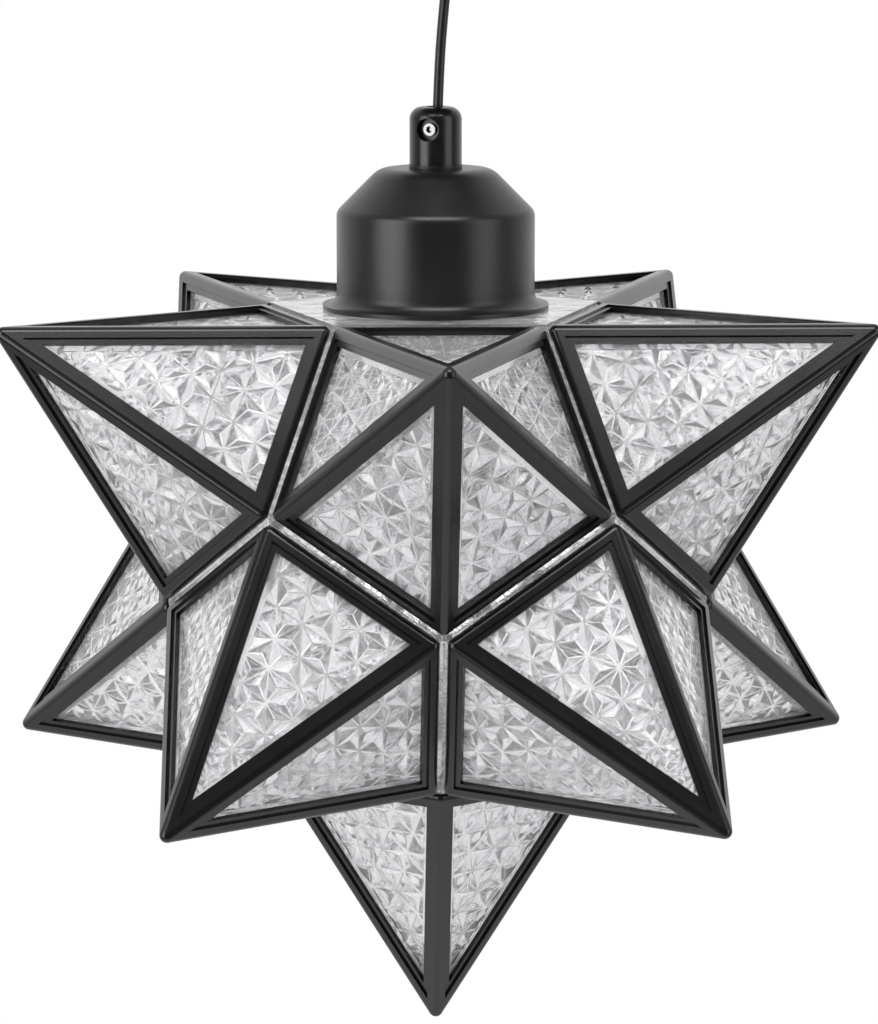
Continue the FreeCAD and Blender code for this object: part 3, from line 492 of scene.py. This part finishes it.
for hand in (-1, 1):
    keep_side((0, apex_line - plain_strip / math.sin(half_tip), 0),
              (hand * math.cos(half_tip), math.sin(half_tip), 0))
panel_height = apex_line - base_line
half_base = panel_height * math.tan(half_tip)
inner_radius = half_base * panel_height / (half_base + panel_height / math.cos(half_tip))
middle = (0, base_line + inner_radius, 0)
select_border()
bpy.ops.mesh.extrude_edges_move()
bpy.ops.transform.resize(value=(1, 1, 0), center_override=(0, 0, 0))
growth = inner_radius / (inner_radius - plain_strip)
pull_border((growth, growth, 1), middle)
bpy.ops.mesh.select_all(action="SELECT")
bpy.ops.mesh.remove_doubles(threshold=weld)
bpy.ops.mesh.dissolve_degenerate(threshold=weld)
bpy.ops.object.mode_set(mode="OBJECT")

# Five sides round the axis, welded along their ridges.
normal = Vector((math.sin(slope), 0, math.cos(slope)))
uphill = Vector((-math.cos(slope), 0, math.sin(slope)))
across = Vector((0, 1, 0))
lean = Matrix.Translation(Vector((foot_reach, 0, 0)) - normal * lens_cover) @ Matrix(
    (across, uphill, normal)).transposed().to_4x4()
sides = [side]
for number in range(1, SIDES):
    copy = side.copy()
    copy.data = side.data.copy()
    bpy.context.scene.collection.objects.link(copy)
    sides.append(copy)
for number, piece in enumerate(sides):
    piece.matrix_world = Matrix.Rotation(2 * math.pi * number / SIDES, 4, "Z") @ lean
    piece.select_set(True)
bpy.context.view_layer.objects.active = side
bpy.ops.object.join()
bpy.ops.object.transform_apply()
lens = bpy.context.object
bpy.ops.object.mode_set(mode="EDIT")
bpy.ops.mesh.select_all(action="SELECT")
bpy.ops.mesh.remove_doubles(threshold=weld)

# The foot goes on as a rim, a flange and the plain inner wall, which closes at the inner tip.
rings = [(seam_side(lens_foot, lens_inside), lens_foot)]
for below, depth in ((rim_drop, lens_inside), (rim_drop, seam_gap)):
    rings.append((foot_reach - (below * foot_reach + depth * core_reach) / seam_reach,
                  (depth * foot_reach - below * core_reach) / seam_reach))
rings.append((seam_side(flange_foot, seam_gap), flange_foot))
rings.append((seam_side(flange_foot, seam_gap + lens_wall), flange_foot))
inner_foot = meeting(lens_cover + lens_wall, seam_gap + lens_wall)
rings.append((seam_side(inner_foot, seam_gap + lens_wall), inner_foot))
select_border()
for (before, level), (after, next_level) in zip(rings, rings[1:]):
    grown = after / before
    pull_border((grown, grown, 1), (0, 0, 0), (0, 0, next_level - level))
pull_border((0, 0, 1), (0, 0, 0), (0, 0, tip_level(lens_cover + lens_wall) - inner_foot))
bpy.ops.mesh.merge(type="CENTER")
bpy.ops.mesh.select_all(action="SELECT")
bpy.ops.mesh.normals_make_consistent(inside=False)
bpy.ops.object.mode_set(mode="OBJECT")


def stand(azimuth, climb, upright):
    """Where a point stands on the core: its foot in its face, its first side up, or else down."""
    out = Vector((math.cos(azimuth) * math.cos(climb), math.sin(azimuth) * math.cos(climb),
                  math.sin(climb)))
    up = Vector((-math.cos(azimuth) * math.sin(climb), -math.sin(azimuth) * math.sin(climb),
                 math.cos(climb)))
    first = up if upright else -up
    turn = Matrix((first, out.cross(first), out)).transposed().to_4x4()
    return Matrix.Translation(Vector((lamp_x, 0, star_level)) + out * core_reach) @ turn


front = -math.pi / 2
climb = math.pi / 2 - slope
step = 2 * math.pi / SIDES
stands = {}
for number in range(SIDES):
    above = stand(front + step * number, climb, True)
    below = stand(front + step * (number + 0.5), -climb, False)
    stands["upper_lens_%d" % (number + 1)] = (above, "lamp")
    stands["lower_lens_%d" % (number + 1)] = (below, "lamp")
stands["bottom_lens"] = (stand(front + step / 2, -math.pi / 2, True), "bottom_point")
for name, (place, body) in stands.items():
    piece = lens.copy()
    piece.data = lens.data.copy()
    piece.name = "pressed_" + name
    piece.data.transform(place)
    bpy.context.scene.collection.objects.link(piece)
    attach(piece, body)
    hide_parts(name)
bpy.data.objects.remove(lens)


# ---------------------------------------------------------------- top plate
# A five-sided plate pressed in the same clear plastic closes the star, and the ring of the lamp
# holder clamps it from below. Its surface is wavy.

top_clear = Finish("plate_clear", IOR=1.49, Transmission_Weight=0.74, Roughness=0.06)
wave = top_clear.noise(110.0, 3.0)
top_clear.set("Base Color", top_clear.blend(wave, (0.92, 0.925, 0.94), (0.97, 0.975, 0.985)))
top_clear.bump(wave, 0.0012)
top_clear.dress("top_plate")
